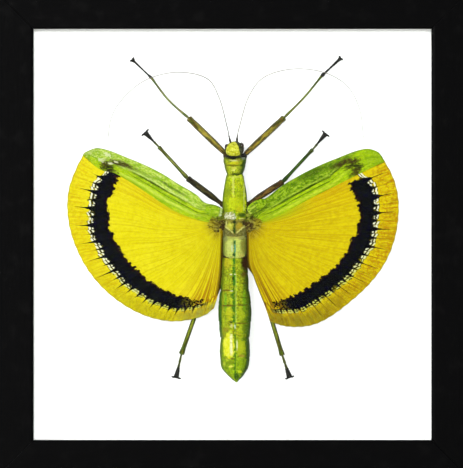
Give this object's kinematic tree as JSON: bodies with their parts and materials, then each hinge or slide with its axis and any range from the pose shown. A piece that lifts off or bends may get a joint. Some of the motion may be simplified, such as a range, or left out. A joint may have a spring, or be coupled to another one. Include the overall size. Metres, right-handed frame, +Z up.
{
  "type": "framed winged stick insect",
  "caption": "Black box frame with a glass front and white mount board that holds a winged stick insect, wings open and legs spread, seen from its back.",
  "frame": {"origin": "centre of the case's box, at the underside of the bottom rail", "axes": "+Z up along the insect's body towards its head, +X to the right seen from the front, -Y out of the glass"},
  "size_m": [0.1676, 0.032, 0.1716],
  "materials": {
    "frame_paint": "satin black paint on wood",
    "spacer_paper": "matt black paper board",
    "glass": "thin clear low-reflection pane",
    "mount_board": "matt white paper board",
    "backing_board": "brown hardboard",
    "zinc_plate": "zinc-plated pressed steel",
    "rubber": "matt grey rubber",
    "head_shell": "granular yellow cuticle",
    "body_shell": "satin yellow-green cuticle",
    "eye": "glossy dark brown",
    "antenna": "dark thread-like horn",
    "wing_green": "stiff yellow-green veined leaf",
    "wing_yellow": "thin yellow pleated membrane with a black band",
    "femur": "olive cuticle",
    "tibia": "green cuticle",
    "tarsus": "dark horn"
  },
  "bodies": {
    "root": {"rail_top": "frame_paint", "rail_bottom": "frame_paint", "rail_left": "frame_paint", "rail_right": "frame_paint", "spacer_top": "spacer_paper", "spacer_bottom": "spacer_paper", "spacer_left": "spacer_paper", "spacer_right": "spacer_paper", "glass": "glass", "mount_board": "mount_board", "backing_board": "backing_board", "hanger": "zinc_plate", "bumper_left": "rubber", "bumper_right": "rubber", "tab_upper_left": "zinc_plate", "tab_upper_right": "zinc_plate", "tab_lower_left": "zinc_plate", "tab_lower_right": "zinc_plate", "head": "head_shell", "eye_left": "eye", "eye_right": "eye", "antenna_left": "antenna", "antenna_right": "antenna", "prothorax": "body_shell", "mesothorax": "body_shell", "metathorax": "body_shell", "median_segment": "body_shell", "abdomen_2": "body_shell", "abdomen_3": "body_shell", "abdomen_4": "body_shell", "abdomen_5": "body_shell", "abdomen_6": "body_shell", "abdomen_7": "body_shell", "abdomen_8": "body_shell", "abdomen_9": "body_shell", "hindwing_strip_left": "wing_green", "hindwing_fan_left": "wing_yellow", "tegmen_left": "wing_green", "hindwing_strip_right": "wing_green", "hindwing_fan_right": "wing_yellow", "tegmen_right": "wing_green", "femur_front_left": "femur", "tibia_front_left": "tibia", "tarsus_front_left": "tarsus", "femur_front_right": "femur", "tibia_front_right": "tibia", "tarsus_front_right": "tarsus", "femur_middle_left": "femur", "tibia_middle_left": "tibia", "tarsus_middle_left": "tarsus", "femur_middle_right": "femur", "tibia_middle_right": "tibia", "tarsus_middle_right": "tarsus", "femur_hind_left": "femur", "tibia_hind_left": "tibia", "tarsus_hind_left": "tarsus", "femur_hind_right": "femur", "tibia_hind_right": "tibia", "tarsus_hind_right": "tarsus"}
  },
  "joints": []
}
